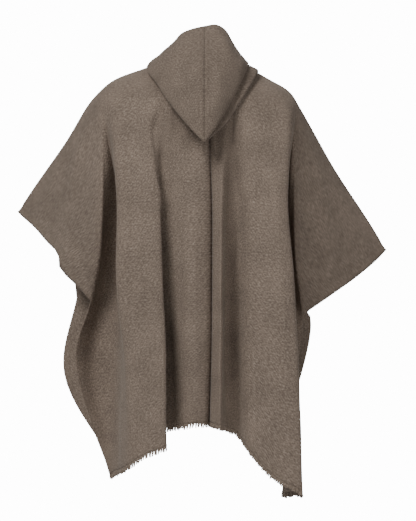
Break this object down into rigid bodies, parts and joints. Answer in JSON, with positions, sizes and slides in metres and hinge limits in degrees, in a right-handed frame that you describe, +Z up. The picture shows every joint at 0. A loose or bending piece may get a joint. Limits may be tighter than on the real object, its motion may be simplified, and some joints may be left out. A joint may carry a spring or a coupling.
{
  "type": "hooded poncho",
  "caption": "Hooded wool poncho of two long widths sewn down the middle, with a hood lying back and frayed hems, filled out as if worn.",
  "frame": {"origin": "where the garment rests on the shoulders, midway between them and level with the base of the neck", "axes": "+Z up, -Y toward the garment's front, +X toward the wearer's left"},
  "size_m": [0.9895, 0.3899, 1.223],
  "materials": {
    "wool_cloth": "matte brown heathered wool twill with a short nap",
    "hood_cloth": "the same wool, slightly darker",
    "frayed_wool": "loose ends of the same wool, slightly lighter"
  },
  "bodies": {
    "root": {"panel_left": "wool_cloth", "panel_right": "wool_cloth", "hood_left": "hood_cloth", "hood_right": "hood_cloth", "fringe_back_left": "frayed_wool", "fringe_back_right": "frayed_wool", "fringe_front_left": "frayed_wool", "fringe_front_right": "frayed_wool"}
  },
  "joints": []
}
